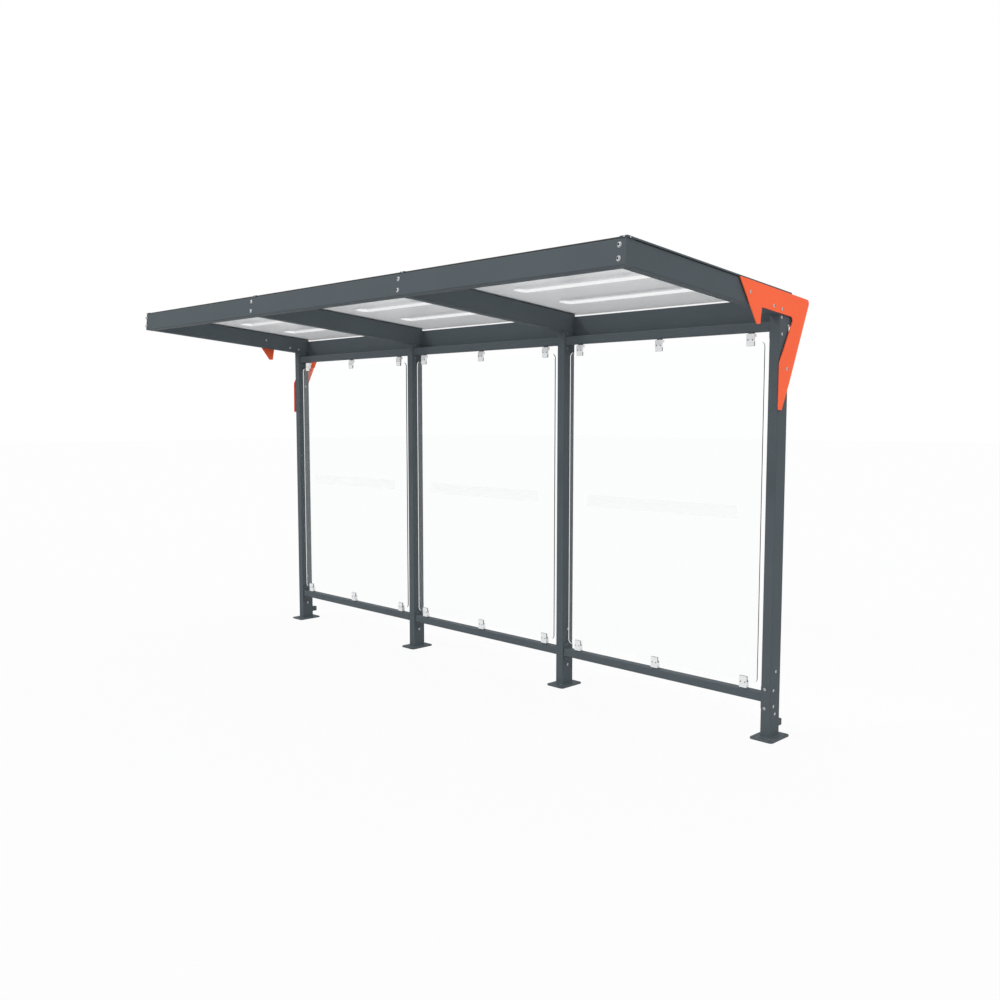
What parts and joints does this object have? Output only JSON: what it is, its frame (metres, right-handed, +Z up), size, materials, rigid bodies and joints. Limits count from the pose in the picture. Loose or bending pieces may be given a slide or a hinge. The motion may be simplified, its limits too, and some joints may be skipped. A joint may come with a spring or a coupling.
{
  "type": "bike shelter",
  "caption": "Open-fronted bike shelter with a steel frame, sloping clear roof sheets, a glass back wall and angular corner plates.",
  "frame": {"origin": "centre of the underside of the left base plate, as seen from the open front", "axes": "+X along the shelter towards the right end, +Y towards the glazed rear, +Z up"},
  "size_m": [4.64, 1.599, 2.5302],
  "materials": {
    "frame_paint": "satin anthracite powder coat on steel",
    "accent_paint": "satin orange powder coat on steel",
    "rubber_seal": "matt black sealing rubber",
    "roof_sheet": "clear pressed plastic sheet",
    "glass": "clear toughened glass with polished edges",
    "clamp_metal": "satin cast metal"
  },
  "bodies": {
    "root": {"base_plate_1": "frame_paint", "base_plate_2": "frame_paint", "base_plate_3": "frame_paint", "base_plate_4": "frame_paint", "post_1": "frame_paint", "post_2": "frame_paint", "post_3": "frame_paint", "post_4": "frame_paint", "bottom_rail_1": "frame_paint", "bottom_rail_2": "frame_paint", "bottom_rail_3": "frame_paint", "top_rail_1": "frame_paint", "top_rail_2": "frame_paint", "top_rail_3": "frame_paint", "rafter_1": "frame_paint", "rafter_2": "frame_paint", "rafter_3": "frame_paint", "rafter_4": "frame_paint", "front_beam": "frame_paint", "beam_end_caps": "frame_paint", "rear_gutter": "frame_paint", "cover_strip_1": "frame_paint", "cover_strip_2": "frame_paint", "cover_strip_3": "frame_paint", "cover_strip_4": "frame_paint", "drain_spout_left": "frame_paint", "drain_spout_right": "frame_paint", "corner_plate_left": "accent_paint", "corner_plate_right": "accent_paint", "front_seal": "rubber_seal", "gasket_1": "rubber_seal", "gasket_2": "rubber_seal", "gasket_3": "rubber_seal", "gasket_4": "rubber_seal", "roof_panel_1": "roof_sheet", "roof_panel_2": "roof_sheet", "roof_panel_3": "roof_sheet", "glass_pane_1": "glass", "glass_pane_2": "glass", "glass_pane_3": "glass", "glass_clamps_bottom_1": "clamp_metal", "glass_clamps_bottom_2": "clamp_metal", "glass_clamps_bottom_3": "clamp_metal", "glass_clamps_top_1": "clamp_metal", "glass_clamps_top_2": "clamp_metal", "glass_clamps_top_3": "clamp_metal"}
  },
  "joints": []
}
